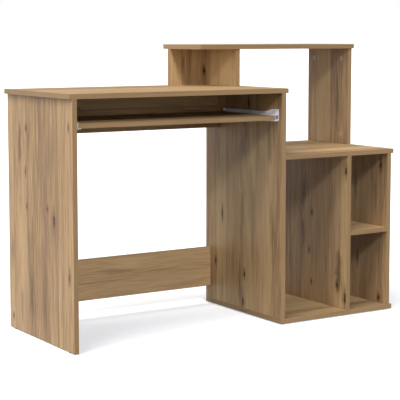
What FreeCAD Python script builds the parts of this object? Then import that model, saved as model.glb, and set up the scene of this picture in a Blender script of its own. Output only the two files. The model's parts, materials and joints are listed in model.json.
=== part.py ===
import FreeCAD, Part
import math
import os

# Computer desk with a pull-out keyboard tray, a storage cabinet and a raised shelf (hutch).
# Millimetres, +Z up, +X to the right, -Y towards the user.
# The parts are laid out from the left upright's outer face (X = 0), the uprights' front
# edges (Y = 0) and the floor (Z = 0), and are exported about the middle of the footprint.

# ---- boards -------------------------------------------------------------------------------
BOARD = 15.0
EDGE_EASING = 0.5
GLIDE_HEIGHT = 3.0
PANEL_DEPTH = 438.0

DESK_HEIGHT = 750.0
DESK_TOP_DEPTH = 442.0
DESK_TOP_OVERHANG = 9.0
BAY_WIDTH = 718.0

APRON_FRONT = 363.0
APRON_BOTTOM = 608.0
STRETCHER_FRONT = 409.0
STRETCHER_BOTTOM = 62.0
STRETCHER_HEIGHT = 134.0

CABINET_HEIGHT = 541.0
LEFT_COMPARTMENT = 249.0
RIGHT_COMPARTMENT = 154.0
CABINET_OVERHANG = 10.0
SHELF_SIDE_GAP = 0.5
SHELF_DEPTH = 430.0

HUTCH_HEIGHT = 885.0
HUTCH_TOP_LEFT = 561.0
HUTCH_TOP_OVERHANG = 5.0
HUTCH_TOP_FRONT = 206.0
HUTCH_SIDE_FRONT = 212.0
HUTCH_BACK = 435.0
HUTCH_SUPPORT_LEFT = 702.0
HUTCH_BOARD_FRONT = 391.0

TRAY_FRONT = 18.0
TRAY_DEPTH = 300.0
TRAY_BOTTOM = 650.0

# ---- tray runners -------------------------------------------------------------------------
RUNNER_SPACE = 12.5
RUNNER_LENGTH = 300.0
RUNNER_FRONT = 20.0
STEEL = 1.2
CHANNEL_BOTTOM = 645.0
CHANNEL_TOP = 675.0
FLARE_TOP = 683.5
FLARE_LENGTH = 24.0
FLARE_SLOPE = 32.0
CHANNEL_CORNER = 7.0
CHANNEL_LIP_GAP = 0.7
TRAY_FLANGE_GAP = 0.5
TRAY_LIP = 10.0
ROLLER_RADIUS = 8.0
ROLLER_WIDTH = 6.8
ROLLER_END_GAP = 0.3
ROLLING_GAP = 0.3
ROLLER_CHAMFER = 0.6
ROLLER_RIM = 2.2
RIVET_RADIUS = 2.0
RIVET_RUNNING_GAP = 0.08
RIVET_HEAD_RADIUS = 3.6
RIVET_HEAD = 0.8
ROLLER_SETBACK = 12.0
STOP_HEIGHT = 3.0
STOP_LENGTH = 4.0
STOP_FROM_FRONT = 54.0
RUNNER_SCREWS_AT = (40.0, 150.0, 272.0)
TRAY_SCREWS_AT = (32.0, 150.0, 262.0)
TRAY_SCREW_HEIGHT = 7.5
RUNNER_SCREW_RADIUS = 2.0
RUNNER_SCREW_HEAD = 1.4
RUNNER_SCREW_HEAD_RADIUS = 3.4
RUNNER_SCREW_LENGTH = 12.0
TRAY_SCREW_LENGTH = 16.0
SCREW_CROSS = (4.0, 0.9, 1.1)

# ---- knock-down fittings ------------------------------------------------------------------
CAM_RADIUS = 7.5
CAM_DEPTH = 12.0
CAM_FROM_EDGE = 34.0
CAM_CAVITY_RADIUS = 4.2
CAM_CROSS = (9.0, 1.6, 2.0)
CAP_RADIUS = 8.8
CAP_THICKNESS = 0.4
BOLT_NECK_RADIUS = 2.5
BOLT_HEAD_RADIUS = 3.2
BOLT_HEAD_LENGTH = 4.0
BOLT_THREAD = 11.0
BOLT_COLLAR_RADIUS = 3.5
BOLT_COLLAR = 2.0
DOWEL_RADIUS = 4.0
DOWEL_IN_FACE = 10.0
DOWEL_IN_EDGE = 20.0
DOWEL_CHAMFER = 1.0
SCREW_HEAD_RADIUS = 5.0
SCREW_HEAD = 2.5
SCREW_SHANK_RADIUS = 3.5
SCREW_SHANK_END = 12.0
SCREW_THREAD_RADIUS = 2.6
SCREW_LENGTH = 48.0
HEX_SOCKET = 4.0
HEX_SOCKET_DEPTH = 3.0
PIN_RADIUS = 2.5
PIN_IN_BOARD = 8.0
PIN_OUT = 9.0
PIN_FROM_EDGE = 50.0

# Where the fittings of each joint sit, as Y from the uprights' front edges or Z from the floor.
DESK_TOP_CAMS = (50, 400)
DESK_TOP_DOWELS = (100, 340)
APRON_CAMS = (635, 705)
APRON_DOWELS = (670,)
STRETCHER_CAMS = (90, 168)
STRETCHER_DOWELS = (129,)
DIVIDER_CAMS = (50, 390)
DIVIDER_DOWELS = (120, 320)
CABINET_SIDE_CAMS = (50, 330)
CABINET_SIDE_DOWELS = (120, 210)
CABINET_END_CAMS = (60, 378)
CABINET_END_DOWELS = (140, 300)
HUTCH_SUPPORT_CAMS = (240, 350)
HUTCH_SUPPORT_DOWELS = (295,)
HUTCH_SIDE_CAMS = (250, 400)
HUTCH_SIDE_DOWELS = (325,)
HUTCH_FOOT_DOWELS = (290, 360)
HUTCH_BOARD_TOP_CAM = 40
HUTCH_BOARD_SIDE_CAM = 55
HUTCH_BOARD_SCREWS = (30, 95)

PANEL_GLIDE_RADIUS = 7.2
BASE_GLIDE_RADIUS = 10.0
NAIL_RADIUS = 1.2
NAIL_LENGTH = 15.0
PANEL_GLIDE_INSET = 33.5
BASE_GLIDE_INSET = 28.0

# ---- positions that follow ----------------------------------------------------------------
X = FreeCAD.Vector(1, 0, 0)
Y = FreeCAD.Vector(0, 1, 0)
Z = FreeCAD.Vector(0, 0, 1)
HALF = BOARD / 2

BAY_LEFT = BOARD
BAY_RIGHT = BAY_LEFT + BAY_WIDTH
CENTRE_RIGHT = BAY_RIGHT + BOARD
DIVIDER_LEFT = CENTRE_RIGHT + LEFT_COMPARTMENT
DIVIDER_RIGHT = DIVIDER_LEFT + BOARD
CABINET_INNER_RIGHT = DIVIDER_RIGHT + RIGHT_COMPARTMENT
CABINET_SIDE_RIGHT = CABINET_INNER_RIGHT + BOARD
CABINET_END = CABINET_SIDE_RIGHT + CABINET_OVERHANG
DESK_UNDERSIDE = DESK_HEIGHT - BOARD
BASE_TOP = GLIDE_HEIGHT + BOARD
CABINET_UNDERSIDE = CABINET_HEIGHT - BOARD
HUTCH_UNDERSIDE = HUTCH_HEIGHT - BOARD
SHELF_BOTTOM = (BASE_TOP + CABINET_UNDERSIDE - BOARD) / 2
TRAY_LEFT = BAY_LEFT + RUNNER_SPACE
TRAY_RIGHT = BAY_RIGHT - RUNNER_SPACE
HUTCH_TOP_RIGHT = CABINET_SIDE_RIGHT + HUTCH_TOP_OVERHANG
HUTCH_SUPPORT_RIGHT = HUTCH_SUPPORT_LEFT + BOARD

FRONT_ROLLER_HEIGHT = 658.0
TRAY_FLANGE_BOTTOM = FRONT_ROLLER_HEIGHT + ROLLER_RADIUS + ROLLING_GAP
REAR_ROLLER_HEIGHT = CHANNEL_BOTTOM + STEEL + ROLLING_GAP + ROLLER_RADIUS
FRONT_ROLLER_Y = RUNNER_FRONT + ROLLER_SETBACK
REAR_ROLLER_Y = TRAY_FRONT + RUNNER_LENGTH - ROLLER_SETBACK

MIDDLE = FreeCAD.Vector((CABINET_END - DESK_TOP_OVERHANG) / 2, DESK_TOP_DEPTH / 2, 0)

BOARDS = {
    "left_side_panel": (
        (0, 0, GLIDE_HEIGHT),
        (BOARD, PANEL_DEPTH, DESK_UNDERSIDE),
    ),
    "centre_side_panel": (
        (BAY_RIGHT, 0, BASE_TOP),
        (CENTRE_RIGHT, PANEL_DEPTH, DESK_UNDERSIDE),
    ),
    "desk_top": (
        (-DESK_TOP_OVERHANG, 0, DESK_UNDERSIDE),
        (CENTRE_RIGHT + DESK_TOP_OVERHANG, DESK_TOP_DEPTH, DESK_HEIGHT),
    ),
    "back_apron": (
        (BAY_LEFT, APRON_FRONT, APRON_BOTTOM),
        (BAY_RIGHT, APRON_FRONT + BOARD, DESK_UNDERSIDE),
    ),
    "lower_stretcher": (
        (BAY_LEFT, STRETCHER_FRONT, STRETCHER_BOTTOM),
        (BAY_RIGHT, STRETCHER_FRONT + BOARD, STRETCHER_BOTTOM + STRETCHER_HEIGHT),
    ),
    "keyboard_tray": (
        (TRAY_LEFT, TRAY_FRONT, TRAY_BOTTOM),
        (TRAY_RIGHT, TRAY_FRONT + TRAY_DEPTH, TRAY_BOTTOM + BOARD),
    ),
    "cabinet_base": (
        (BAY_RIGHT, 0, GLIDE_HEIGHT),
        (CABINET_END, PANEL_DEPTH, BASE_TOP),
    ),
    "cabinet_top": (
        (CENTRE_RIGHT, 0, CABINET_UNDERSIDE),
        (CABINET_END, PANEL_DEPTH, CABINET_HEIGHT),
    ),
    "cabinet_divider": (
        (DIVIDER_LEFT, 0, BASE_TOP),
        (DIVIDER_RIGHT, PANEL_DEPTH, CABINET_UNDERSIDE),
    ),
    "cabinet_right_side": (
        (CABINET_INNER_RIGHT, 0, BASE_TOP),
        (CABINET_SIDE_RIGHT, PANEL_DEPTH, CABINET_UNDERSIDE),
    ),
    "small_shelf": (
        (DIVIDER_RIGHT + SHELF_SIDE_GAP, 0, SHELF_BOTTOM),
        (CABINET_INNER_RIGHT - SHELF_SIDE_GAP, SHELF_DEPTH, SHELF_BOTTOM + BOARD),
    ),
    "hutch_top": (
        (HUTCH_TOP_LEFT, HUTCH_TOP_FRONT, HUTCH_UNDERSIDE),
        (HUTCH_TOP_RIGHT, HUTCH_BACK, HUTCH_HEIGHT),
    ),
    "hutch_left_support": (
        (HUTCH_SUPPORT_LEFT, HUTCH_SIDE_FRONT, DESK_HEIGHT),
        (HUTCH_SUPPORT_RIGHT, HUTCH_BACK, HUTCH_UNDERSIDE),
    ),
    "hutch_back_board": (
        (HUTCH_TOP_LEFT, HUTCH_BOARD_FRONT, DESK_HEIGHT),
        (HUTCH_SUPPORT_LEFT, HUTCH_BOARD_FRONT + BOARD, HUTCH_UNDERSIDE),
    ),
    "hutch_right_side": (
        (CABINET_INNER_RIGHT, HUTCH_SIDE_FRONT, CABINET_HEIGHT),
        (CABINET_SIDE_RIGHT, HUTCH_BACK, HUTCH_UNDERSIDE),
    ),
}

solids = {}
cuts = {name: [] for name in BOARDS}


def point(x, y, z):
    return FreeCAD.Vector(x, y, z)


def block(low, high):
    """A box between two opposite corners given in any order."""
    a = [min(p, q) for p, q in zip(low, high)]
    b = [max(p, q) for p, q in zip(low, high)]
    return Part.makeBox(b[0] - a[0], b[1] - a[1], b[2] - a[2], point(*a))


def rod(start, direction, radius, length):
    return Part.makeCylinder(radius, length, start, direction)


def add(node, shape):
    solids.setdefault(node, []).append(shape)


def cut_from(board, shape):
    cuts[board].append(shape)


# ---- knock-down fittings ------------------------------------------------------------------


def cam_bolt(interface, into):
    """Steel bolt: its thread sits in the face board, its ball in the cam of the edge board."""
    thread = rod(interface, into, BOLT_NECK_RADIUS, BOLT_THREAD)
    collar = rod(interface - into * BOLT_COLLAR, into, BOLT_COLLAR_RADIUS, BOLT_COLLAR)
    neck = rod(interface - into * CAM_FROM_EDGE, into, BOLT_NECK_RADIUS, CAM_FROM_EDGE)
    head_start = interface - into * (CAM_FROM_EDGE + BOLT_HEAD_LENGTH / 2)
    head = rod(head_start, into, BOLT_HEAD_RADIUS, BOLT_HEAD_LENGTH)
    return thread.fuse([collar, neck, head]).removeSplitter()


def cam_lock(seat, into, inward):
    """Round cam: a hollow for the bolt's head, a channel towards the bolt, a cross recess on top."""
    disc = rod(seat, inward, CAM_RADIUS, CAM_DEPTH)
    axis_point = seat + inward * HALF
    cavity = rod(axis_point - inward * CAM_CAVITY_RADIUS, inward, CAM_CAVITY_RADIUS, CAM_DEPTH)
    channel = rod(axis_point, into, BOLT_COLLAR_RADIUS, CAM_RADIUS + 1)
    return disc.cut([cavity, channel, cross_recess(seat, into, inward, CAM_CROSS)])


def cross_recess(seat, along, inward, size):
    """Cross-shaped recess for a screwdriver; size is its length, bar width and depth."""
    length, width, depth = size
    side = along.cross(inward)
    bars = []
    for one, other in ((along, side), (side, along)):
        a = seat - one * (length / 2) - other * (width / 2)
        b = seat + one * (length / 2) + other * (width / 2) + inward * depth
        bars.append(block(a, b))
    return bars[0].fuse(bars[1])


def cam_joint(group, edge_board, face_board, interface, into, inward):
    """Cam lock, bolt and cover cap between the end of one board and the face of another.

    interface is the middle of the edge board's end, into points from it into the face board,
    and inward points from the cam's open face into the edge board."""
    cam_centre = interface - into * CAM_FROM_EDGE
    seat = cam_centre - inward * HALF
    add(group + "_cam_bolts", cam_bolt(interface, into))
    add(group + "_cam_locks", cam_lock(seat, into, inward))
    add(group + "_cam_caps", rod(seat - inward * CAP_THICKNESS, inward, CAP_RADIUS, CAP_THICKNESS))
    cut_from(edge_board, rod(seat, inward, CAM_RADIUS, CAM_DEPTH))
    cut_from(edge_board, rod(cam_centre, into, BOLT_COLLAR_RADIUS, CAM_FROM_EDGE))
    cut_from(face_board, rod(interface, into, BOLT_NECK_RADIUS, BOLT_THREAD))


def dowel_joint(group, edge_board, face_board, interface, into):
    """Beech dowel across the same kind of joint, with chamfered ends."""
    start = interface - into * DOWEL_IN_EDGE
    length = DOWEL_IN_EDGE + DOWEL_IN_FACE
    pin = rod(start, into, DOWEL_RADIUS, length)
    ends = [edge for edge in pin.Edges if edge.Closed]
    add(group + "_dowels", pin.makeChamfer(DOWEL_CHAMFER, ends))
    cut_from(edge_board, rod(start, into, DOWEL_RADIUS, DOWEL_IN_EDGE))
    cut_from(face_board, rod(interface, into, DOWEL_RADIUS, DOWEL_IN_FACE))


def connector_screw_shape(seat, into):
    head = Part.makeCone(SCREW_HEAD_RADIUS, SCREW_SHANK_RADIUS, SCREW_HEAD, seat, into)
    shank = rod(seat, into, SCREW_SHANK_RADIUS, SCREW_SHANK_END)
    thread = rod(seat, into, SCREW_THREAD_RADIUS, SCREW_LENGTH)
    return head.fuse([shank, thread]).removeSplitter()


def connector_screw(group, lower_board, upper_board, x, y, seat_height):
    """Screw driven up through a horizontal board into the end of the upright that stands on it."""
    seat = point(x, y, seat_height)
    screw = connector_screw_shape(seat, Z)
    socket = Part.makePolygon(
        [
            seat + point(math.cos(a) * HEX_SOCKET / 2, math.sin(a) * HEX_SOCKET / 2, 0)
            for a in [math.radians(60 * k) for k in range(7)]
        ]
    )
    socket = Part.Face(socket).extrude(Z * HEX_SOCKET_DEPTH)
    add(group + "_connector_screws", screw.cut(socket))
    cut_from(lower_board, screw)
    cut_from(upper_board, screw)


def top_joint(group, upright, top, x, cams, dowels, inward):
    """Joins an upright's upper end (or a board standing on edge) to the board above it."""
    height = BOARDS[upright][1][2]
    for y in cams:
        cam_joint(group, upright, top, point(x, y, height), Z, inward)
    for y in dowels:
        dowel_joint(group, upright, top, point(x, y, height), Z)


def end_joints(board, y, cam_heights, dowel_heights):
    """Joins both ends of a board that spans the desk bay to the two uprights."""
    ends = (("left_side_panel", BAY_LEFT, -X), ("centre_side_panel", BAY_RIGHT, X))
    for upright, x, into in ends:
        for z in cam_heights:
            cam_joint("desk", board, upright, point(x, y, z), into, -Y)
        for z in dowel_heights:
            dowel_joint("desk", board, upright, point(x, y, z), into)


def desk_joints():
    for upright, x in (("left_side_panel", HALF), ("centre_side_panel", BAY_RIGHT + HALF)):
        top_joint("desk", upright, "desk_top", x, DESK_TOP_CAMS, DESK_TOP_DOWELS, -X)
    end_joints("back_apron", APRON_FRONT + HALF, APRON_CAMS, APRON_DOWELS)
    end_joints("lower_stretcher", STRETCHER_FRONT + HALF, STRETCHER_CAMS, STRETCHER_DOWELS)


def cabinet_joints():
    divider_x = DIVIDER_LEFT + HALF
    side_x = CABINET_INNER_RIGHT + HALF
    uprights = (
        ("cabinet_divider", divider_x, DIVIDER_CAMS, DIVIDER_DOWELS, -X),
        ("cabinet_right_side", side_x, CABINET_SIDE_CAMS, CABINET_SIDE_DOWELS, X),
    )
    for upright, x, cams, dowels, inward in uprights:
        top_joint("cabinet", upright, "cabinet_top", x, cams, dowels, inward)
    middle_height = CABINET_UNDERSIDE + HALF
    for y in CABINET_END_CAMS:
        end = point(CENTRE_RIGHT, y, middle_height)
        cam_joint("cabinet", "cabinet_top", "centre_side_panel", end, -X, Z)
    for y in CABINET_END_DOWELS:
        end = point(CENTRE_RIGHT, y, middle_height)
        dowel_joint("cabinet", "cabinet_top", "centre_side_panel", end, -X)
    standing = (
        ("centre_side_panel", BAY_RIGHT + HALF),
        ("cabinet_divider", divider_x),
        ("cabinet_right_side", side_x),
    )
    for upright, x in standing:
        for y in CABINET_END_CAMS:
            connector_screw("cabinet", "cabinet_base", upright, x, y, GLIDE_HEIGHT)
        for y in CABINET_END_DOWELS:
            dowel_joint("cabinet", upright, "cabinet_base", point(x, y, BASE_TOP), -Z)


def hutch_joints():
    support_x = HUTCH_SUPPORT_LEFT + HALF
    side_x = CABINET_INNER_RIGHT + HALF
    board_y = HUTCH_BOARD_FRONT + HALF
    uprights = (
        ("hutch_left_support", support_x, HUTCH_SUPPORT_CAMS, HUTCH_SUPPORT_DOWELS, -X),
        ("hutch_right_side", side_x, HUTCH_SIDE_CAMS, HUTCH_SIDE_DOWELS, X),
    )
    for upright, x, cams, dowels, inward in uprights:
        top_joint("hutch", upright, "hutch_top", x, cams, dowels, inward)
    top_end = point(HUTCH_TOP_LEFT + HUTCH_BOARD_TOP_CAM, board_y, HUTCH_UNDERSIDE)
    cam_joint("hutch", "hutch_back_board", "hutch_top", top_end, Z, -Y)
    side_end = point(HUTCH_SUPPORT_LEFT, board_y, DESK_HEIGHT + HUTCH_BOARD_SIDE_CAM)
    cam_joint("hutch", "hutch_back_board", "hutch_left_support", side_end, X, -Y)
    for y in HUTCH_SIDE_CAMS:
        foot = point(side_x, y, CABINET_HEIGHT)
        cam_joint("hutch", "hutch_right_side", "cabinet_top", foot, -Z, X)
    for y in HUTCH_FOOT_DOWELS:
        foot = point(side_x, y, CABINET_HEIGHT)
        dowel_joint("hutch", "hutch_right_side", "cabinet_top", foot, -Z)
    for y in HUTCH_SUPPORT_CAMS:
        connector_screw("hutch", "desk_top", "hutch_left_support", support_x, y, DESK_UNDERSIDE)
    for along in HUTCH_BOARD_SCREWS:
        x = HUTCH_TOP_LEFT + along
        connector_screw("hutch", "desk_top", "hutch_back_board", x, board_y, DESK_UNDERSIDE)


def shelf_pins():
    """Four stepped steel pins; the small shelf lies on them."""
    height = SHELF_BOTTOM - PIN_RADIUS
    sides = (("cabinet_divider", DIVIDER_RIGHT, X), ("cabinet_right_side", CABINET_INNER_RIGHT, -X))
    for upright, x, out in sides:
        for y in (PIN_FROM_EDGE, SHELF_DEPTH - PIN_FROM_EDGE):
            face = point(x, y, height)
            pin = rod(face - out * PIN_IN_BOARD, out, PIN_RADIUS, PIN_IN_BOARD + PIN_OUT)
            add("shelf_pins", pin)
            cut_from(upright, rod(face - out * PIN_IN_BOARD, out, PIN_RADIUS, PIN_IN_BOARD))


def glide(board, x, y, radius):
    """Nail-in glide: a rounded plastic foot under the board and the nail that holds it."""
    foot = rod(point(x, y, 0), Z, radius, GLIDE_HEIGHT)
    lower_edge = [e for e in foot.Edges if e.Closed and e.CenterOfMass.z < GLIDE_HEIGHT / 2]
    foot = foot.makeFillet(GLIDE_HEIGHT / 3, lower_edge)
    nail = rod(point(x, y, GLIDE_HEIGHT / 2), Z, NAIL_RADIUS, NAIL_LENGTH)
    add("glide_pads", foot.cut(nail))
    add("glide_nails", nail)
    cut_from(board, nail)


def glides():
    for y in (PANEL_GLIDE_INSET, PANEL_DEPTH - PANEL_GLIDE_INSET):
        glide("left_side_panel", HALF, y, PANEL_GLIDE_RADIUS)
    for x in (BAY_RIGHT + BASE_GLIDE_INSET, CABINET_END - BASE_GLIDE_INSET):
        for y in (BASE_GLIDE_INSET, PANEL_DEPTH - BASE_GLIDE_INSET):
            glide("cabinet_base", x, y, BASE_GLIDE_RADIUS)


# ---- tray runners -------------------------------------------------------------------------
# Each runner is drawn for the right-hand upright. distance(s) is measured from that
# upright's face towards the tray, and the left runner is the mirror image.


def distance(s):
    return BAY_RIGHT - s


def channel_outline(inset):
    """The cabinet member's side view, a closed face in the plane X = 0, drawn in by inset."""
    front = RUNNER_FRONT
    back = RUNNER_FRONT + RUNNER_LENGTH - inset
    low = CHANNEL_BOTTOM + inset
    flat_end = front + FLARE_LENGTH - inset / 2
    slope_end = front + FLARE_LENGTH + FLARE_SLOPE - inset / 2
    corner = CHANNEL_CORNER - inset
    centre = point(0, front + CHANNEL_CORNER, low + corner)
    arc = Part.Arc(
        point(0, centre.y - corner, centre.z),
        centre + point(0, -corner, -corner) / math.sqrt(2),
        point(0, centre.y, low),
    ).toShape()
    if inset:
        mouth = [point(0, centre.y - corner, centre.z), point(0, front - 1, centre.z)]
        upper_front = point(0, front - 1, FLARE_TOP - inset)
    else:
        mouth = [point(0, front, centre.z)]
        upper_front = point(0, front, FLARE_TOP)
    path = [
        *mouth,
        upper_front,
        point(0, flat_end, FLARE_TOP - inset),
        point(0, slope_end, CHANNEL_TOP - inset),
        point(0, back, CHANNEL_TOP - inset),
        point(0, back, low),
        point(0, centre.y, low),
    ]
    lines = [Part.makeLine(a, b) for a, b in zip(path, path[1:])]
    return Part.Face(Part.Wire(Part.__sortEdges__([arc, *lines])))


def cabinet_member():
    """Channel screwed to the upright: web, flanges, closed back end, raised front, stop bump."""
    outer = channel_outline(0).extrude(X * (RUNNER_SPACE - STEEL - CHANNEL_LIP_GAP))
    outer.translate(point(distance(RUNNER_SPACE - STEEL - CHANNEL_LIP_GAP), 0, 0))
    hollow = channel_outline(STEEL).extrude(X * (RUNNER_SPACE - STEEL))
    hollow.translate(point(distance(RUNNER_SPACE), 0, 0))
    floor = CHANNEL_BOTTOM + STEEL
    stop_front = RUNNER_FRONT + STOP_FROM_FRONT
    stop = block(
        (distance(RUNNER_SPACE - 2 * STEEL - CHANNEL_LIP_GAP), stop_front, floor),
        (distance(STEEL), stop_front + STOP_LENGTH, floor + STOP_HEIGHT),
    )
    hole = rod(point(distance(0), FRONT_ROLLER_Y, FRONT_ROLLER_HEIGHT), -X, RIVET_RADIUS, STEEL)
    member = outer.cut(hollow).fuse(stop).removeSplitter().cut(hole)
    for along in RUNNER_SCREWS_AT:
        screw_hole = rod(
            point(distance(0), RUNNER_FRONT + along, FRONT_ROLLER_HEIGHT),
            -X,
            RUNNER_SCREW_RADIUS,
            STEEL,
        )
        member = member.cut(screw_hole)
    return member


def tray_member():
    """Angle on the tray's end: web, lip under the tray, and the flange that rides on the roller."""
    start = TRAY_FRONT
    end = TRAY_FRONT + RUNNER_LENGTH
    flange_top = TRAY_FLANGE_BOTTOM + STEEL
    web_out = RUNNER_SPACE - STEEL
    web = block(
        (distance(RUNNER_SPACE), start, TRAY_BOTTOM - STEEL), (distance(web_out), end, flange_top)
    )
    lip = block(
        (distance(RUNNER_SPACE + TRAY_LIP), start, TRAY_BOTTOM - STEEL),
        (distance(RUNNER_SPACE), end, TRAY_BOTTOM),
    )
    flange = block(
        (distance(web_out), start, TRAY_FLANGE_BOTTOM),
        (distance(STEEL + TRAY_FLANGE_GAP), end, flange_top),
    )
    rivet_hole = rod(
        point(distance(web_out), REAR_ROLLER_Y, REAR_ROLLER_HEIGHT), -X, RIVET_RADIUS, STEEL
    )
    holes = [
        rod(
            point(distance(web_out), TRAY_FRONT + along, TRAY_BOTTOM + TRAY_SCREW_HEIGHT),
            -X,
            RUNNER_SCREW_RADIUS,
            STEEL,
        )
        for along in TRAY_SCREWS_AT
    ]
    return web.fuse([lip, flange]).removeSplitter().cut([rivet_hole, *holes])


def roller(centre, out):
    """Nylon wheel, dished round its hub; out points along its rivet, away from its web."""
    start = centre + out * ROLLER_END_GAP
    wheel = rod(start, out, ROLLER_RADIUS, ROLLER_WIDTH)
    rims = [edge for edge in wheel.Edges if edge.Closed]
    wheel = wheel.makeChamfer(ROLLER_CHAMFER, rims)
    bore = rod(start, out, RIVET_RADIUS + RIVET_RUNNING_GAP, ROLLER_WIDTH)
    recess_radius = ROLLER_RADIUS - ROLLER_RIM
    dish = rod(start + out * (ROLLER_WIDTH - ROLLER_CHAMFER), out, recess_radius, ROLLER_CHAMFER)
    hub = rod(start + out * (ROLLER_WIDTH - ROLLER_CHAMFER), out, RIVET_HEAD_RADIUS, ROLLER_CHAMFER)
    return wheel.cut(dish.cut(hub)).cut(bore)


def rivet(centre, out):
    """Rivet through the web and the roller, its head on the roller's open side."""
    length = STEEL + ROLLER_END_GAP + ROLLER_WIDTH + ROLLER_END_GAP
    shank = rod(centre - out * STEEL, out, RIVET_RADIUS, length + RIVET_HEAD)
    head_start = centre + out * (length - STEEL)
    head = rod(head_start, out, RIVET_HEAD_RADIUS, RIVET_HEAD)
    return shank.fuse(head).removeSplitter()


def web_screw(face, into, length):
    """Cross-recess pan-head screw that rests on a runner web, and the hole its shank needs."""
    head = rod(face - into * RUNNER_SCREW_HEAD, into, RUNNER_SCREW_HEAD_RADIUS, RUNNER_SCREW_HEAD)
    rim = [e for e in head.Edges if e.Closed and (e.CenterOfMass - face).dot(into) < -STEEL / 2]
    head = head.makeFillet(RUNNER_SCREW_HEAD / 2, rim)
    shank = rod(face, into, RUNNER_SCREW_RADIUS, STEEL + length)
    recess = cross_recess(face - into * RUNNER_SCREW_HEAD, Z, into, SCREW_CROSS)
    return head.fuse(shank).removeSplitter().cut(recess), shank


def placed(shape, side):
    """The right-hand runner's piece as it is, or mirrored about the bay's middle for the left."""
    if side == "right":
        return shape
    return shape.mirror(point((BAY_LEFT + BAY_RIGHT) / 2, 0, 0), X)


def runner_screws(side, upright):
    """Screws of one runner: through the channel into the upright, through the angle into the tray."""
    for along in RUNNER_SCREWS_AT:
        face = point(distance(STEEL), RUNNER_FRONT + along, FRONT_ROLLER_HEIGHT)
        screw, hole = web_screw(face, X, RUNNER_SCREW_LENGTH)
        add("runner_screws", placed(screw, side))
        cut_from(upright, placed(hole, side))
    for along in TRAY_SCREWS_AT:
        height = TRAY_BOTTOM + TRAY_SCREW_HEIGHT
        face = point(distance(RUNNER_SPACE - STEEL), TRAY_FRONT + along, height)
        screw, hole = web_screw(face, -X, TRAY_SCREW_LENGTH)
        add("tray_screws", placed(screw, side))
        cut_from("keyboard_tray", placed(hole, side))


def runners():
    front = point(distance(STEEL), FRONT_ROLLER_Y, FRONT_ROLLER_HEIGHT)
    rear = point(distance(RUNNER_SPACE - STEEL), REAR_ROLLER_Y, REAR_ROLLER_HEIGHT)
    for side, upright in (("left", "left_side_panel"), ("right", "centre_side_panel")):
        add(side + "_runner_cabinet_member", placed(cabinet_member(), side))
        add(side + "_runner_tray_member", placed(tray_member(), side))
        add(side + "_front_roller", placed(roller(front, -X), side))
        add(side + "_rear_roller", placed(roller(rear, X), side))
        add("front_roller_rivets", placed(rivet(front, -X), side))
        add("rear_roller_rivets", placed(rivet(rear, X), side))
        runner_screws(side, upright)


# ---- boards and export --------------------------------------------------------------------


def board_shape(name):
    low, high = BOARDS[name]
    shape = block(low, high)
    shape = shape.makeFillet(EDGE_EASING, shape.Edges)
    if cuts[name]:
        shape = shape.cut(cuts[name])
    return shape


def export(name, shapes):
    made = [solid for shape in shapes for solid in shape.Solids]
    for solid in made:
        if not solid.isValid():
            raise ValueError(name + " holds a solid that is not valid")
    whole = made[0] if len(made) == 1 else Part.Compound(made)
    whole.translate(-MIDDLE)
    whole.exportStep(os.path.join("parts", name + ".step"))
    print(name, len(made), "solids", round(sum(s.Volume for s in made)), "mm3")


desk_joints()
cabinet_joints()
hutch_joints()
shelf_pins()
glides()
runners()

os.makedirs("parts", exist_ok=True)
for board_name in BOARDS:
    export(board_name, [board_shape(board_name)])
for node_name, shapes in solids.items():
    export(node_name, shapes)
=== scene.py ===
import json
import math

import bpy
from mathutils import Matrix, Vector

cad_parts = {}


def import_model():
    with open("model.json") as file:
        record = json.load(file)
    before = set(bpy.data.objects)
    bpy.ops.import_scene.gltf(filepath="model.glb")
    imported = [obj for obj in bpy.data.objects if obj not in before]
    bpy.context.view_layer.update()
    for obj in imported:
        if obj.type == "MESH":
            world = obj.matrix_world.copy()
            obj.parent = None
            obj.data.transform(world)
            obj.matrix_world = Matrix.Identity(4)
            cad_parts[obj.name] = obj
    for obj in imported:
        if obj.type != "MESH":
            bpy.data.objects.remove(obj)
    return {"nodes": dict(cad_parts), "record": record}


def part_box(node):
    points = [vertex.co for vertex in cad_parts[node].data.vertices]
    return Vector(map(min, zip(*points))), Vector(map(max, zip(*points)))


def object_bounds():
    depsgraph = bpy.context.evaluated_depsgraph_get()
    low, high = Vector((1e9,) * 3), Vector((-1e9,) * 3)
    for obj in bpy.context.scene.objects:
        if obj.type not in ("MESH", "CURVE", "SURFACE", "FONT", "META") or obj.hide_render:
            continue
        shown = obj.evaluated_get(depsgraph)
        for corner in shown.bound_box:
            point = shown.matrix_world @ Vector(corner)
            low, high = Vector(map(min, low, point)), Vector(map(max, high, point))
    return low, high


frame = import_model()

# Computer desk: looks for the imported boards, runners and fittings, and the studio round them.
# Metres, in the part's own frame: X to the right, Y to the back, Z up from the floor.

CAD_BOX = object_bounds()
NODES = frame["nodes"]
MM = 0.001
X_AXIS, Y_AXIS, Z_AXIS = 0, 1, 2
WHITE = (1.0, 1.0, 1.0, 1.0)


def srgb(red, green, blue):
    """A display colour, 0-255, as the linear RGBA that the nodes take."""
    values = [c / 255 for c in (red, green, blue)]
    linear = [c / 12.92 if c <= 0.04045 else ((c + 0.055) / 1.055) ** 2.4 for c in values]
    return (*linear, 1.0)


# ---- node graph helper ----------------------------------------------------------------------

# The Mix node lists the sockets of every data type; these are the places of those used here.
MIX_FACTOR = 0
MIX_FLOAT_A, MIX_FLOAT_B, MIX_FLOAT_OUT = 2, 3, 0
MIX_COLOUR_A, MIX_COLOUR_B, MIX_COLOUR_OUT = 6, 7, 2


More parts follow.
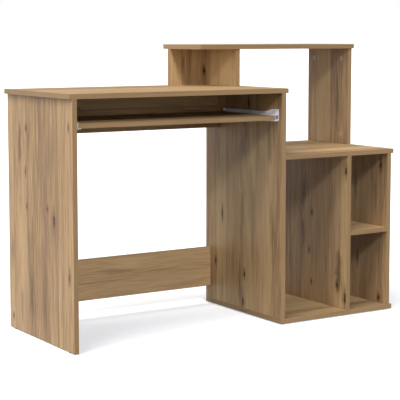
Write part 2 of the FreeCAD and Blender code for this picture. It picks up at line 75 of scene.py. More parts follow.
class Graph:
    """Short calls that add nodes to a tree and link them. Numbers go in as socket values."""

    def __init__(self, tree):
        self.tree = tree

    def node(self, kind, **settings):
        made = self.tree.nodes.new(kind)
        for name, value in settings.items():
            setattr(made, name, value)
        return made

    def put(self, socket, value):
        if isinstance(value, bpy.types.NodeSocket):
            self.tree.links.new(value, socket)
        else:
            socket.default_value = value

    def math(self, operation, *values, clamp=False):
        made = self.node("ShaderNodeMath", operation=operation, use_clamp=clamp)
        for socket, value in zip(made.inputs, values):
            self.put(socket, value)
        return made.outputs[0]

    def add(self, a, b):
        return self.math("ADD", a, b)

    def sub(self, a, b):
        return self.math("SUBTRACT", a, b)

    def mul(self, a, b):
        return self.math("MULTIPLY", a, b)

    def centred(self, noise):
        """Noise of 0 to 1 as -0.5 to 0.5."""
        return self.sub(noise, 0.5)

    def ramp(self, value, start, end, low=0.0, high=1.0):
        """Smooth step of value from low to high between start and end."""
        made = self.node("ShaderNodeMapRange", interpolation_type="SMOOTHSTEP")
        inputs = ("Value", "From Min", "From Max", "To Min", "To Max")
        for name, number in zip(inputs, (value, start, end, low, high)):
            self.put(made.inputs[name], number)
        return made.outputs["Result"]

    def vector(self, x, y, z=0.0):
        made = self.node("ShaderNodeCombineXYZ")
        for socket, value in zip(made.inputs, (x, y, z)):
            self.put(socket, value)
        return made.outputs[0]

    def noise(self, vector, scale, detail=2.0, roughness=0.5):
        made = self.node("ShaderNodeTexNoise")
        self.put(made.inputs["Vector"], vector)
        made.inputs["Scale"].default_value = scale
        made.inputs["Detail"].default_value = detail
        made.inputs["Roughness"].default_value = roughness
        return made.outputs["Fac"]

    def stretched(self, u, v, per_metre_u, per_metre_v, offset=0.0, **settings):
        """Noise with its own frequency across (u) and along (v) the grain."""
        place = self.vector(self.mul(u, per_metre_u), self.mul(v, per_metre_v), offset)
        return self.noise(place, 1.0, **settings)

    def mix(self, factor, a, b):
        """Colour a, with factor (0 to 1) of colour b laid over it."""
        made = self.node("ShaderNodeMix", data_type="RGBA")
        self.put(made.inputs[MIX_FACTOR], factor)
        self.put(made.inputs[MIX_COLOUR_A], a)
        self.put(made.inputs[MIX_COLOUR_B], b)
        return made.outputs[MIX_COLOUR_OUT]

    def pick(self, condition, a, b):
        """b where the condition is 1, a where it is 0."""
        made = self.node("ShaderNodeMix", data_type="FLOAT")
        self.put(made.inputs[MIX_FACTOR], condition)
        self.put(made.inputs[MIX_FLOAT_A], a)
        self.put(made.inputs[MIX_FLOAT_B], b)
        return made.outputs[MIX_FLOAT_OUT]

    def colours(self, factor, stops):
        """A colour ramp through (position, colour) stops."""
        made = self.node("ShaderNodeValToRGB")
        made.color_ramp.interpolation = "B_SPLINE"
        elements = made.color_ramp.elements
        elements[0].position, elements[0].color = stops[0]
        elements[1].position, elements[1].color = stops[-1]
        for position, colour in stops[1:-1]:
            elements.new(position).color = colour
        self.put(made.inputs[0], factor)
        return made.outputs[0]

    def bump(self, height, strength, distance):
        made = self.node("ShaderNodeBump")
        made.inputs["Strength"].default_value = strength
        made.inputs["Distance"].default_value = distance
        self.put(made.inputs["Height"], height)
        return made.outputs[0]

    def object_place(self):
        return self.node("ShaderNodeTexCoord").outputs["Object"]


def new_group(name, inputs, outputs):
    """An empty node group with float inputs and the given (name, kind) outputs."""
    tree = bpy.data.node_groups.new(name, "ShaderNodeTree")
    for socket in inputs:
        tree.interface.new_socket(socket, in_out="INPUT", socket_type="NodeSocketFloat")
    for socket, kind in outputs:
        tree.interface.new_socket(socket, in_out="OUTPUT", socket_type=kind)
    g = Graph(tree)
    return g, g.node("NodeGroupInput").outputs, g.node("NodeGroupOutput").inputs


def use_group(g, tree, **values):
    """Adds a node group with its inputs set, and returns its outputs."""
    made = g.node("ShaderNodeGroup", node_tree=tree)
    for name, value in values.items():
        g.put(made.inputs[name], value)
    return made.outputs


def shader(g, base, roughness, normal=None, metallic=0.0, specular=0.5, coat=0.0, glow=0.0):
    """A Principled shader; whatever is the same all over is set on its own socket."""
    made = g.node("ShaderNodeBsdfPrincipled")
    g.put(made.inputs["Base Color"], base)
    g.put(made.inputs["Roughness"], roughness)
    if normal is not None:
        g.put(made.inputs["Normal"], normal)
    made.inputs["Metallic"].default_value = metallic
    made.inputs["Specular IOR Level"].default_value = specular
    made.inputs["Coat Weight"].default_value = coat
    made.inputs["Emission Color"].default_value = WHITE
    made.inputs["Emission Strength"].default_value = glow
    out = g.node("ShaderNodeOutputMaterial")
    g.tree.links.new(made.outputs[0], out.inputs["Surface"])


def new_material(name):
    material = bpy.data.materials.new(name)
    material.use_nodes = True
    material.node_tree.nodes.clear()
    return material, Graph(material.node_tree)


def dress(names, material):
    """Gives the named CAD nodes one material."""
    for name in names:
        mesh = NODES[name].data
        mesh.materials.clear()
        mesh.materials.append(material)


# ---- oak print ------------------------------------------------------------------------------
# The decor paper of the boards: planks of differing tone, straight grain, grey-brown
# mineral streaks, short dark pores, and knots with cracks that the grain flows round.

OAK_DEEP = srgb(95, 72, 47)
OAK_BROWN = srgb(143, 112, 77)
OAK_TAN = srgb(168, 137, 96)
OAK_LIGHT = srgb(188, 158, 114)
OAK_ROSE = srgb(176, 141, 110)
OAK_GREY = srgb(104, 86, 63)
OAK_PORE = srgb(94, 71, 47)
KNOT_CORE = srgb(56, 34, 18)
KNOT_RING = srgb(112, 78, 46)
BAND_TONE = srgb(134, 105, 71)
GLUE_LINE = srgb(104, 78, 51)
STAIN_TONE = srgb(82, 59, 38)

PLANKS_PER_METRE = 13.0
CLOUD_STRENGTH = 0.35

# The spread of the sideways wander of the planks and of the grain, in metres.
PLANK_WANDER = 0.006
BEND_DEPTH = 0.035

# Noise frequencies per metre: across the grain, along the grain.
WANDER_PER_METRE = (3.0, 0.9)
BEND_PER_METRE = (7.0, 2.1)
BROAD_PER_METRE = (16.0, 0.8)
RINGS_PER_METRE = (76.0, 3.9)
LINES_PER_METRE = (280.0, 9.0)
FIBRES_PER_METRE = (1500.0, 22.0)
CLOUDS_PER_METRE = (21.0, 2.1)
CLOUD_FEATHER_PER_METRE = (210.0, 5.0)
SEAM_BREAKS_PER_METRE = (9.0, 2.4)
PORES_PER_METRE = (900.0, 34.0)
KNOT_WOBBLE_PER_METRE = (160.0, 45.0)
STAIN_SWAY_PER_METRE = (8.0, 6.0)
STAIN_FEATHER_PER_METRE = (150.0, 14.0)

# Third coordinate of a layer's noise. The print adds it to the board's seed, while knots and
# mineral streaks use it alone.
BROAD_OFFSET = 2.0
CLOUD_OFFSET = 5.0
FEATHER_OFFSET = 6.0
BREAK_OFFSET = 7.0
PORE_OFFSET = 8.0
KNOT_OFFSET = 3.0
STAIN_SWAY_OFFSET = 9.0
STAIN_FEATHER_OFFSET = 4.0

# Metres that the planks move across the grain for each 1 of the seed, and the most that a
# plank's figure moves along the grain.
SEED_STEP = 3.7
PLANK_SHIFT = 9.0

# How much each layer of the figure changes the print's tone, and the tone they vary about.
PLANK_DEPTH = 0.5
BROAD_DEPTH = 0.85
RING_DEPTH = 0.7
LINE_DEPTH = 1.1
FIBRE_DEPTH = 0.22
MIDDLE_TONE = 0.56

# How strongly the rose tint, the plank seams and the pores colour the print.
ROSE_SHARE = 0.14
SEAM_SHARE = 0.4
PORE_SHARE = 0.34

# Ranges of noise, or of the distance from a seam, over which clouds, plank seams and pores come
# and go. The feather noise is added to the clouds' own, and high rings thin the pores out.
CLOUD_EDGE = (0.55, 0.70)
CLOUD_FEATHER = 0.16
SEAM_EDGE = (0.012, 0.04)
SEAM_BREAK_EDGE = (0.42, 0.54)
PORE_EDGE = (0.62, 0.74)
PORE_RING_EDGE = (0.35, 0.6)
PORE_LEAST = 0.25

# What the fibres, lines and pores add to or take from the surface's height.
FIBRE_HEIGHT = 0.35
LINE_HEIGHT = 0.65
PORE_DEPTH = 0.9

# A knot's drawn size over its listed one, and how strongly its ring and core colour the print.
KNOT_WIDTH_GAIN = 1.4
KNOT_LENGTH_GAIN = 1.1
KNOT_RING_SHARE = 0.62
KNOT_CORE_SHARE = 0.92

# A knot's uneven outline, and where its core and ring fade out, in its half sizes.
KNOT_SIDE_WOBBLE = 2.2
KNOT_REACH_WOBBLE = 0.9
KNOT_CORE_EDGE = (0.7, 1.2)
KNOT_RING_EDGE = (0.8, 3.4)
KNOT_RING_TOP = 0.75

# Share of its distance from the knot by which the grain shifts, and how fast that falls off.
KNOT_PULL = -0.7
KNOT_PULL_FADE = -0.055

# The crack's waviness and its fading sides in metres, its fading ends in the knot's half
# lengths, and its strength beside the core's.
CRACK_WAVE = 0.006
CRACK_EDGE = (0.0006, 0.0022)
CRACK_END = (1.2, 2.6)
CRACK_SHARE = 0.85

# A mineral streak's sway, its feathering and where it fades out, in its half sizes.
STAIN_SWAY = 2.4
STAIN_FEATHER = 2.6
STAIN_EDGE = (0.1, 1.15)

# Shifts along U, in metres, that give a board's two faces, its edges and its ends their own figure.
FAR_SIDE = 5.0
EDGE_SIDE = 11.0
END_SIDE = 17.0

# A point belongs to the face whose direction is within 45 degrees of its normal, so a rounded
# edge is split down its middle.
FACING_LIMIT = 0.7071

# Width of the edge band as seen on a face, and the distances from its inner border between
# which the glue line fades out. The shares are how strongly they colour the board.
BAND_THICKNESS = 0.8 * MM
BAND_SHARE = 0.75
GLUE_FADE = (0.05 * MM, 0.25 * MM)
GLUE_SHARE = 0.6

# A board's roughness, what the figure's height and broad patches of noise add to it, and the
# relief that the figure gives the surface.
PATCHES_PER_METRE = 9.0
BASE_ROUGHNESS = 0.36
FIGURE_ROUGHNESS = 0.10
PATCH_ROUGHNESS = 0.14
RELIEF_STRENGTH = 0.35
RELIEF_DEPTH = 0.12 * MM


def oak_print():
    """Node group: print colour and surface height at (U across, V along) for a seed.

    Clouds is the strength of the random grey streaks, Contrast that of the whole figure."""
    g, given, result = new_group(
        "oak_print",
        ("U", "V", "Seed", "Clouds", "Contrast"),
        (("Color", "NodeSocketColor"), ("Height", "NodeSocketFloat")),
    )
    u, v, seed = given["U"], given["V"], given["Seed"]
    wander = g.stretched(u, v, *WANDER_PER_METRE, seed, detail=1.0)
    plank_u = g.add(u, g.mul(g.centred(wander), PLANK_WANDER))
    plank_place = g.add(plank_u, g.mul(seed, SEED_STEP))
    plank = g.node("ShaderNodeTexVoronoi", voronoi_dimensions="1D", feature="F1")
    seam = g.node("ShaderNodeTexVoronoi", voronoi_dimensions="1D", feature="DISTANCE_TO_EDGE")
    for cells in (plank, seam):
        cells.inputs["Scale"].default_value = PLANKS_PER_METRE
        g.put(cells.inputs["W"], plank_place)
    random = g.node("ShaderNodeSeparateColor")
    g.put(random.inputs[0], plank.outputs["Color"])
    tone, shift, turn = random.outputs
    along = g.add(v, g.mul(shift, PLANK_SHIFT))

    bend = g.stretched(u, along, *BEND_PER_METRE, seed, detail=3.0)
    across = g.add(u, g.mul(g.centred(bend), BEND_DEPTH))
    broad = g.stretched(
        across, along, *BROAD_PER_METRE, g.add(seed, BROAD_OFFSET), detail=2.0, roughness=0.55
    )
    rings = g.stretched(
        across, along, *RINGS_PER_METRE, g.add(seed, turn), detail=3.0, roughness=0.62
    )
    lines = g.stretched(across, along, *LINES_PER_METRE, seed, detail=3.0, roughness=0.6)
    fibres = g.stretched(across, along, *FIBRES_PER_METRE, seed, detail=2.0, roughness=0.6)
    level = g.add(
        g.mul(g.centred(tone), PLANK_DEPTH), g.mul(g.centred(broad), BROAD_DEPTH)
    )
    level = g.add(level, g.mul(g.centred(rings), RING_DEPTH))
    level = g.add(level, g.mul(g.centred(lines), LINE_DEPTH))
    level = g.add(level, g.mul(g.centred(fibres), FIBRE_DEPTH))
    level = g.math("ADD", g.mul(level, given["Contrast"]), MIDDLE_TONE, clamp=True)
    colour = g.colours(
        level, [(0.0, OAK_DEEP), (0.32, OAK_BROWN), (0.58, OAK_TAN), (1.0, OAK_LIGHT)]
    )
    colour = g.mix(g.mul(turn, ROSE_SHARE), colour, OAK_ROSE)

    cloud = g.stretched(
        across, along, *CLOUDS_PER_METRE, g.add(seed, CLOUD_OFFSET), detail=3.0, roughness=0.6
    )
    feather = g.stretched(
        across, along, *CLOUD_FEATHER_PER_METRE, g.add(seed, FEATHER_OFFSET), detail=2.0
    )
    streak = g.ramp(g.add(cloud, g.mul(g.centred(feather), CLOUD_FEATHER)), *CLOUD_EDGE)
    colour = g.mix(g.mul(streak, given["Clouds"]), colour, OAK_GREY)
    gap = g.ramp(seam.outputs["Distance"], *SEAM_EDGE, 1.0, 0.0)
    breaks = g.stretched(u, v, *SEAM_BREAKS_PER_METRE, g.add(seed, BREAK_OFFSET))
    gap = g.mul(gap, g.ramp(breaks, *SEAM_BREAK_EDGE))
    colour = g.mix(g.mul(gap, SEAM_SHARE), colour, OAK_GREY)

    pores = g.stretched(across, along, *PORES_PER_METRE, g.add(seed, PORE_OFFSET), detail=1.0)
    pore = g.mul(g.ramp(pores, *PORE_EDGE), g.ramp(rings, *PORE_RING_EDGE, 1.0, PORE_LEAST))
    colour = g.mix(g.mul(pore, PORE_SHARE), colour, OAK_PORE)

    g.put(result["Color"], colour)
    grain_height = g.add(g.mul(fibres, FIBRE_HEIGHT), g.mul(lines, LINE_HEIGHT))
    height = g.sub(grain_height, g.mul(pore, PORE_DEPTH))
    g.put(result["Height"], height)
    return g.tree


def knot_group():
    """Node group: one knot at (AtU, AtV). Width and Length are its half sizes.

    Warp moves the grain aside round it, Core is the dark heart with its crack, Ring the
    brown halo."""
    g, given, result = new_group(
        "oak_knot",
        ("U", "V", "AtU", "AtV", "Width", "Length"),
        (("Warp", "NodeSocketFloat"), ("Core", "NodeSocketFloat"), ("Ring", "NodeSocketFloat")),
    )
    u, v = given["U"], given["V"]
    du = g.sub(u, given["AtU"])
    dv = g.sub(v, given["AtV"])
    wobble_noise = g.stretched(
        u, v, *KNOT_WOBBLE_PER_METRE, KNOT_OFFSET, detail=3.0, roughness=0.65
    )
    wobble = g.centred(wobble_noise)
    side_wobble = g.mul(g.mul(wobble, given["Width"]), KNOT_SIDE_WOBBLE)
    near_u = g.math("DIVIDE", g.add(du, side_wobble), given["Width"])
    near_v = g.math("DIVIDE", dv, given["Length"])
    reach = g.math("SQRT", g.add(g.mul(near_u, near_u), g.mul(near_v, near_v)))
    reach = g.add(reach, g.mul(wobble, KNOT_REACH_WOBBLE))
    bulge = g.math("EXPONENT", g.mul(g.mul(reach, reach), KNOT_PULL_FADE))
    g.put(result["Warp"], g.mul(g.mul(du, bulge), KNOT_PULL))
    core = g.ramp(reach, *KNOT_CORE_EDGE, 1.0, 0.0)
    crack_wave = g.mul(wobble, CRACK_WAVE)
    crack_off = g.math("ABSOLUTE", g.add(du, crack_wave))
    crack = g.mul(
        g.ramp(crack_off, *CRACK_EDGE, 1.0, 0.0),
        g.ramp(g.math("ABSOLUTE", near_v), *CRACK_END, 1.0, 0.0),
    )
    g.put(result["Core"], g.math("MAXIMUM", core, g.mul(crack, CRACK_SHARE)))
    g.put(result["Ring"], g.ramp(reach, *KNOT_RING_EDGE, KNOT_RING_TOP, 0.0))
    return g.tree


def stain_group():
    """Node group: one mineral streak, a long dark patch with feathered sides."""
    g, given, result = new_group(
        "oak_stain",
        ("U", "V", "AtU", "AtV", "Width", "Length"),
        (("Shade", "NodeSocketFloat"),),
    )
    u, v = given["U"], given["V"]
    sway_noise = g.stretched(u, v, *STAIN_SWAY_PER_METRE, STAIN_SWAY_OFFSET, detail=2.0)
    sway = g.centred(sway_noise)
    du = g.add(g.sub(u, given["AtU"]), g.mul(sway, g.mul(given["Width"], STAIN_SWAY)))
    near_u = g.math("DIVIDE", du, given["Width"])
    near_v = g.math("DIVIDE", g.sub(v, given["AtV"]), given["Length"])
    reach = g.math("SQRT", g.add(g.mul(near_u, near_u), g.mul(near_v, near_v)))
    feather_noise = g.stretched(
        u, v, *STAIN_FEATHER_PER_METRE, STAIN_FEATHER_OFFSET, detail=5.0, roughness=0.7
    )
    feather = g.centred(feather_noise)
    shade = g.ramp(g.add(reach, g.mul(feather, STAIN_FEATHER)), *STAIN_EDGE, 1.0, 0.0)
    g.put(result["Shade"], shade)
    return g.tree


OAK_PRINT = oak_print()
OAK_STAIN = stain_group()
OAK_KNOT = knot_group()


def oak_board(name, grain, seed, knots=(), stains=(), clouds=CLOUD_STRENGTH, contrast=1.0):
    """Oak-print material of one board: both faces, the edge bands, knots and mineral streaks.

    grain is the axis the grain runs along. A knot is (share across, share along, half width
    mm, half length mm), on the board's left or front face, with the shares counted from its
    low corner. A stain has a fifth number, its darkness."""
    low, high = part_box(name)
    size = high - low
    thick = min(range(3), key=lambda axis: size[axis])
    across = 3 - grain - thick
    material, g = new_material("oak_" + name)
    source = g.node("ShaderNodeTexCoord")
    place = g.node("ShaderNodeSeparateXYZ")
    g.put(place.inputs[0], source.outputs["Object"])
    facing = g.node("ShaderNodeSeparateXYZ")
    g.put(facing.inputs[0], source.outputs["Normal"])

    def side_of(axis):
        return g.math("SIGN", facing.outputs[axis])

    def faces(axis):
        return g.math("GREATER_THAN", g.math("ABSOLUTE", facing.outputs[axis]), FACING_LIMIT)

    on_face, on_end = faces(thick), faces(grain)
    face_u = g.add(place.outputs[across], g.mul(side_of(thick), FAR_SIDE))
    edge_u = g.add(place.outputs[thick], g.mul(side_of(across), EDGE_SIDE))
    end_u = g.add(place.outputs[thick], g.mul(side_of(grain), END_SIDE))
    u = g.pick(on_face, g.pick(on_end, edge_u, end_u), face_u)
    v = g.pick(on_end, place.outputs[grain], place.outputs[across])

    def at_shares(share_across, share_along):
        """The print coordinates of a point on the board's low face."""
        return {
            "AtU": low[across] + share_across * size[across] - FAR_SIDE,
            "AtV": low[grain] + share_along * size[grain],
        }

    drawn_knots = []
    print_u = u
    for share_across, share_along, half_width, half_length in knots:
        knot = use_group(
            g,
            OAK_KNOT,
            U=u,
            V=v,
            Width=half_width * KNOT_WIDTH_GAIN * MM,
            Length=half_length * KNOT_LENGTH_GAIN * MM,
            **at_shares(share_across, share_along),
        )
        drawn_knots.append(knot)
        print_u = g.add(print_u, knot["Warp"])
    oak = use_group(
        g, OAK_PRINT, U=print_u, V=v, Seed=seed, Clouds=clouds, Contrast=contrast
    )
    colour = oak["Color"]
    for share_across, share_along, half_width, half_length, dark in stains:
        stain = use_group(
            g,
            OAK_STAIN,
            U=print_u,
            V=v,
            Width=half_width * MM,
            Length=half_length * MM,
            **at_shares(share_across, share_along),
        )
        colour = g.mix(g.mul(stain["Shade"], dark), colour, STAIN_TONE)
    height = oak["Height"]
    for knot in drawn_knots:
        colour = g.mix(g.mul(knot["Ring"], KNOT_RING_SHARE), colour, KNOT_RING)
        colour = g.mix(g.mul(knot["Core"], KNOT_CORE_SHARE), colour, KNOT_CORE)
        height = g.sub(height, knot["Core"])

    def inset(axis):
        """Distance in from the board's outline along one axis."""
        return g.math(
            "MINIMUM", g.sub(place.outputs[axis], low[axis]), g.sub(high[axis], place.outputs[axis])
        )

    rim = g.math("MINIMUM", inset(across), inset(grain))
    band_end = g.math("LESS_THAN", rim, BAND_THICKNESS)
    on_band = g.math("MAXIMUM", band_end, g.sub(1.0, on_face))
    colour = g.mix(g.mul(on_band, BAND_SHARE), colour, BAND_TONE)
    off_glue = g.math("ABSOLUTE", g.sub(rim, BAND_THICKNESS))
    glue = g.mul(on_face, g.ramp(off_glue, *GLUE_FADE, 1.0, 0.0))
    colour = g.mix(g.mul(glue, GLUE_SHARE), colour, GLUE_LINE)

    patches = g.noise(source.outputs["Object"], scale=PATCHES_PER_METRE, detail=3.0, roughness=0.6)
    roughness = g.add(g.mul(height, FIGURE_ROUGHNESS), g.mul(patches, PATCH_ROUGHNESS))
    roughness = g.add(roughness, BASE_ROUGHNESS)
    relief = g.bump(height, RELIEF_STRENGTH, RELIEF_DEPTH)
    shader(g, colour, roughness, relief, specular=0.2)
    dress([name], material)


# name: (grain axis, seed, knots, stains, strength of the clouds, contrast of the figure).
# The last four may be left out. oak_board says what a knot and a stain hold.
BOARD_LOOKS = {
    "left_side_panel": (
        Z_AXIS,
        1.3,
        [
            (0.70, 0.865, 3.0, 9),
            (0.06, 0.89, 2.4, 8),
            (0.715, 0.685, 2.2, 8),
            (0.70, 0.54, 2.4, 5),
            (0.38, 0.55, 3.0, 6),
            (0.28, 0.505, 5.4, 17),
            (0.94, 0.055, 3.0, 6),
            (0.06, 0.30, 3.0, 13),
        ],
        [
            (0.80, 0.79, 16, 120, 0.75),
            (0.635, 0.17, 20, 110, 0.75),
            (0.40, 0.60, 9, 150, 0.45),
            (0.94, 0.34, 12, 55, 0.6),
            (0.42, 0.25, 6, 180, 0.5),
            (0.80, 0.10, 8, 90, 0.5),
        ],
        0.2,
    ),
    "centre_side_panel": (
        Z_AXIS,
        2.1,
        [
            (0.42, 0.945, 3.0, 12),
            (0.77, 0.42, 2.6, 14),
            (0.86, 0.19, 2.6, 7),
            (0.47, 0.16, 3.6, 9),
            (0.49, 0.03, 4.2, 12),
        ],
        [
            (0.46, 0.80, 24, 130, 0.6),
            (0.82, 0.74, 16, 110, 0.5),
            (0.15, 0.80, 14, 110, 0.5),
            (0.12, 0.42, 14, 150, 0.45),
            (0.51, 0.10, 16, 90, 0.6),
            (0.50, 0.42, 22, 150, 0.35),
        ],
        # Grey streaks stronger than on the other boards: partly print, partly painted shade that
        # darkens this panel as if it stood in shadow.
        0.4,
    ),
    "desk_top": (X_AXIS, 3.4, [], [], 0.2),
    "back_apron": (X_AXIS, 4.2, [(0.6, 0.25, 2.5, 8)], [], 0.35),
    "lower_stretcher": (
        X_AXIS,
        5.6,
        [(0.97, 0.06, 3.0, 9)],
        [(0.66, 0.48, 10, 90, 0.35)],
        0.1,
        0.62,
    ),
    "keyboard_tray": (X_AXIS, 6.1, []),
    "cabinet_base": (X_AXIS, 7.5, []),
    "cabinet_top": (X_AXIS, 8.3, []),
    "cabinet_divider": (
        Z_AXIS,
        9.2,
        [
            (0.02, 0.90, 4.0, 13),
            (0.43, 0.595, 4.0, 8),
            (0.46, 0.34, 2.6, 7),
            (0.43, 0.13, 2.2, 6),
            (0.11, 0.15, 5.0, 9),
            (0.02, 0.075, 4.6, 18),
        ],
        [
            (0.55, 0.72, 24, 85, 0.9),
            (0.55, 0.47, 18, 75, 0.8),
            (0.10, 0.24, 18, 95, 0.8),
            (0.79, 0.47, 20, 90, 0.45),
        ],
        0.2,
    ),
    "cabinet_right_side": (
        Z_AXIS,
        10.4,
        [(0.08, 0.92, 3.5, 12), (0.345, 0.275, 3.0, 13), (0.085, 0.035, 4.6, 8)],
        [
            (0.386, 0.76, 16, 60, 0.6),
            (0.12, 0.70, 12, 120, 0.45),
            (0.12, 0.40, 10, 60, 0.4),
        ],
        0.2,
    ),
    "small_shelf": (X_AXIS, 11.2, []),
    "hutch_top": (X_AXIS, 12.7, []),
    "hutch_left_support": (Z_AXIS, 13.1, []),
    "hutch_back_board": (Z_AXIS, 14.6, [(0.945, 0.40, 3.4, 8)], [(0.34, 0.60, 10, 45, 0.5)]),
    "hutch_right_side": (Z_AXIS, 15.9, [], [(0.255, 0.45, 9, 120, 0.6)], 0.35),
}
for board, board_look in BOARD_LOOKS.items():
    oak_board(board, *board_look)


# ---- fittings -------------------------------------------------------------------------------
# Each material mixes two tones by a soft cloud; "scale" is a noise frequency per metre.

EPOXY_TONES = srgb(240, 240, 244), srgb(250, 250, 252)
NYLON_TONES = srgb(34, 21, 104), srgb(46, 30, 126)
PLATED_TONES = srgb(178, 178, 172), srgb(212, 211, 206)
CAST_TONES = srgb(138, 139, 141), srgb(176, 177, 178)
BEECH_TONES = srgb(196, 156, 118), srgb(218, 182, 144)
BEECH_FLECK = srgb(150, 104, 70)
GLIDE_TONES = srgb(44, 43, 42), srgb(60, 58, 56)
GLIDE_SCUFF = srgb(118, 115, 110)
GLIDE_SCUFF_HEIGHT = 1.2 * MM
FOIL_TONE = srgb(150, 118, 84)
FOIL_SEED = 21.0


def white_epoxy():
    """White epoxy powder coat with a fine orange peel, on the runner members."""
    material, g = new_material("white_epoxy_steel")
    place = g.object_place()
    cloud = g.noise(place, scale=60.0, detail=3.0)
    peel = g.noise(place, scale=1400.0, detail=2.0)
    colour = g.mix(g.ramp(cloud, 0.3, 0.75), *EPOXY_TONES)
    roughness = g.add(g.mul(cloud, 0.16), 0.26)
    shader(g, colour, roughness, g.bump(peel, 0.25, 0.05 * MM), specular=0.5, coat=0.15)
    return material


def violet_nylon():
    """Moulded nylon of the rollers, slightly cloudy and gritty."""
    material, g = new_material("violet_nylon")
    place = g.object_place()
    cloud = g.noise(place, scale=220.0, detail=3.0)
    grit = g.noise(place, scale=2600.0, detail=2.0)
    colour = g.mix(g.ramp(cloud, 0.3, 0.7), *NYLON_TONES)
    roughness = g.add(g.mul(cloud, 0.2), 0.3)
    shader(g, colour, roughness, g.bump(grit, 0.3, 0.03 * MM), specular=0.25)
    return material


def zinc(name, tones, least_roughness, grit_scale, grit_depth):
    """Plated or cast zinc: cloudy tone, uneven roughness, and a fine or coarse grit."""
    material, g = new_material(name)
    place = g.object_place()
    cloud = g.noise(place, scale=300.0, detail=4.0, roughness=0.6)
    grit = g.noise(place, scale=grit_scale, detail=3.0)
    colour = g.mix(g.ramp(cloud, 0.3, 0.7), *tones)
    roughness = g.add(g.mul(cloud, 0.25), least_roughness)
    shader(g, colour, roughness, g.bump(grit, 0.4, grit_depth), metallic=1.0)
    return material


def beech():
    """Pale beech of the dowels with short darker flecks."""
    material, g = new_material("beech")
    place = g.object_place()
    flecks = g.noise(place, scale=900.0, detail=2.0)
    cloud = g.noise(place, scale=120.0, detail=3.0)
    colour = g.mix(g.ramp(cloud, 0.3, 0.7), *BEECH_TONES)
    colour = g.mix(g.mul(g.ramp(flecks, 0.58, 0.7), 0.5), colour, BEECH_FLECK)
    shader(g, colour, g.add(g.mul(cloud, 0.2), 0.5), g.bump(flecks, 0.3, 0.1 * MM), specular=0.3)
    return material


def glide_plastic():
    """Dark moulded plastic, scuffed paler where it stands on the floor."""
    material, g = new_material("glide_plastic")
    source = g.object_place()
    place = g.node("ShaderNodeSeparateXYZ")
    g.put(place.inputs[0], source)
    grit = g.noise(source, scale=1800.0, detail=3.0)
    scratch = g.noise(source, scale=500.0, detail=4.0, roughness=0.7)
    near_floor = g.ramp(place.outputs[Z_AXIS], 0.0, GLIDE_SCUFF_HEIGHT, 1.0, 0.0)
    worn = g.mul(near_floor, g.ramp(scratch, 0.45, 0.6))
    colour = g.mix(g.ramp(grit, 0.3, 0.7), *GLIDE_TONES)
    colour = g.mix(g.mul(worn, 0.6), colour, GLIDE_SCUFF)
    shader(g, colour, g.add(g.mul(worn, 0.25), 0.42), g.bump(grit, 0.3, 0.05 * MM), specular=0.4)
    return material


def cap_foil():
    """Self-adhesive oak-print foil of the cover caps, with its grain upright."""
    material, g = new_material("cap_foil")
    place = g.node("ShaderNodeSeparateXYZ")
    g.put(place.inputs[0], g.object_place())
    oak = use_group(
        g,
        OAK_PRINT,
        U=g.add(place.outputs[X_AXIS], place.outputs[Y_AXIS]),
        V=place.outputs[Z_AXIS],
        Seed=FOIL_SEED,
        Clouds=CLOUD_STRENGTH,
        Contrast=1.0,
    )
    colour = g.mix(0.35, oak["Color"], FOIL_TONE)
    shader(g, colour, g.add(g.mul(oak["Height"], 0.1), 0.38), g.bump(oak["Height"], 0.2, 0.05 * MM))
    return material


def of_slot(slot):
    """Names of the nodes whose record entry has this material slot."""
    return [row["node"] for row in frame["record"]["subparts"] if row["material_slot"] == slot]


SLOT_LOOKS = {
    "white_epoxy_steel": white_epoxy(),
    "violet_nylon": violet_nylon(),
    "zinc_steel": zinc(
        "zinc_steel", PLATED_TONES, least_roughness=0.22, grit_scale=2400.0, grit_depth=0.02 * MM
    ),
    "zinc_casting": zinc(
        "zinc_casting", CAST_TONES, least_roughness=0.42, grit_scale=1100.0, grit_depth=0.08 * MM
    ),
    "beech": beech(),
    "glide_plastic": glide_plastic(),
    "cap_foil": cap_foil(),
}
for slot_name, look in SLOT_LOOKS.items():
    dress(of_slot(slot_name), look)


# ---- studio ---------------------------------------------------------------------------------

FLOOR_RADIUS = 120.0
FLOOR_SIDES = 96
FLOOR_TONE = (0.85, 0.85, 0.85, 1.0)
FLOOR_GLOW = 0.3
WORLD_TONE = 0.03
HORIZON_TONE = 1.0
HORIZON_EDGE = (0.08, 0.22)

# name: (azimuth and elevation in degrees, strength in W/m2, softness in degrees, tint)
NO_TINT = (1.0, 1.0, 1.0)
COOL_TINT = (0.96, 1.02, 1.12)
LIGHTS = {
    "light_high_left": (80, 60, 3.2, 40, NO_TINT),
    "light_low_left": (85, 20, 1.25, 50, NO_TINT),
    "light_front_high": (15, 34, 2.3, 9, COOL_TINT),
    "light_front_low": (0, 8, 0.16, 30, COOL_TINT),
    "light_right": (-95, 14, 0.8, 50, NO_TINT),
    "light_back": (178, 14, 0.6, 50, NO_TINT),
}


def floor_disc():
    """Wide pale floor. It glows a little, and throws no light back on the desk so that the
    compartments stay dark."""
    rim = []
    for side in range(FLOOR_SIDES):
        turn = math.tau * side / FLOOR_SIDES
        rim.append((FLOOR_RADIUS * math.cos(turn), FLOOR_RADIUS * math.sin(turn), 0))
    mesh = bpy.data.meshes.new("studio_floor")
    mesh.from_pydata(rim, [], [list(range(FLOOR_SIDES))])
    floor = bpy.data.objects.new("studio_floor", mesh)
    bpy.context.scene.collection.objects.link(floor)
    floor.visible_diffuse = False
    material, g = new_material("studio_floor")
    shader(g, FLOOR_TONE, 0.9, specular=0.1, glow=FLOOR_GLOW)
    mesh.materials.append(material)


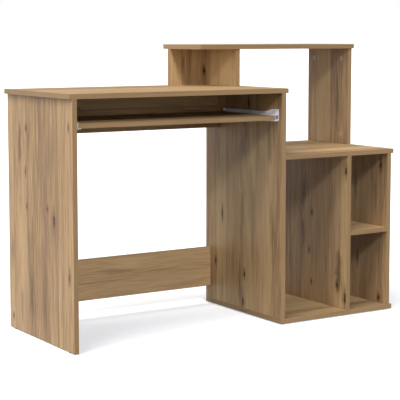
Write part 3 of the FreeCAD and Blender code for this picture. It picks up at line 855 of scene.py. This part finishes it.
def world():
    """Soft white surround: white at the horizon like a studio's cove, dimmer overhead."""
    made = bpy.data.worlds.new("studio")
    bpy.context.scene.world = made
    made.use_nodes = True
    made.node_tree.nodes.clear()
    g = Graph(made.node_tree)
    place = g.node("ShaderNodeSeparateXYZ")
    g.put(place.inputs[0], g.node("ShaderNodeTexCoord").outputs["Generated"])
    height = g.math("ABSOLUTE", place.outputs[Z_AXIS])
    background = g.node("ShaderNodeBackground")
    background.inputs["Color"].default_value = WHITE
    strength = g.ramp(height, *HORIZON_EDGE, HORIZON_TONE, WORLD_TONE)
    g.put(background.inputs["Strength"], strength)
    out = g.node("ShaderNodeOutputWorld")
    made.node_tree.links.new(background.outputs[0], out.inputs["Surface"])


def sun(name, azimuth, elevation, strength, softness, tint):
    """Distant soft light. Azimuth 0 comes from the front and 90 from the left."""
    data = bpy.data.lights.new(name, "SUN")
    data.energy = strength
    data.angle = math.radians(softness)
    data.color = tint
    light = bpy.data.objects.new(name, data)
    a, e = math.radians(azimuth), math.radians(elevation)
    towards = Vector((-math.sin(a) * math.cos(e), -math.cos(a) * math.cos(e), math.sin(e)))
    light.rotation_mode = "QUATERNION"
    light.rotation_quaternion = towards.to_track_quat("Z", "Y")
    bpy.context.scene.collection.objects.link(light)


# Yaw and pitch in degrees, lens and sensor in millimetres, the rest in metres. The aim is the
# point looked at, from the middle of the desk. The shift is in widths of the picture.
CAMERA_YAW = 32.68
CAMERA_PITCH = 5.79
CAMERA_DISTANCE = 4.186
CAMERA_AIM = Vector((-0.0155, 0.010, 0.0475))
CAMERA_LENS = 117.1
CAMERA_SENSOR = 36.0
CAMERA_SHIFT = -0.08
NEAREST, FURTHEST = 0.05, 500.0


def camera():
    """The camera at the photograph's viewing angle: from the front left, slightly above."""
    data = bpy.data.cameras.new("camera")
    data.lens = CAMERA_LENS
    data.sensor_width = CAMERA_SENSOR
    data.shift_y = CAMERA_SHIFT
    data.clip_start, data.clip_end = NEAREST, FURTHEST
    made = bpy.data.objects.new("camera", data)
    yaw, pitch = math.radians(CAMERA_YAW), math.radians(CAMERA_PITCH)
    look = Vector(
        (math.sin(yaw) * math.cos(pitch), math.cos(yaw) * math.cos(pitch), -math.sin(pitch))
    )
    middle = (CAD_BOX[0] + CAD_BOX[1]) / 2
    made.location = middle + CAMERA_AIM - look * CAMERA_DISTANCE
    made.rotation_mode = "QUATERNION"
    made.rotation_quaternion = look.to_track_quat("-Z", "Y")
    bpy.context.scene.collection.objects.link(made)
    bpy.context.scene.camera = made


floor_disc()
world()
for light_name, light_look in LIGHTS.items():
    sun(light_name, *light_look)
camera()
bpy.context.scene.view_settings.view_transform = "Standard"
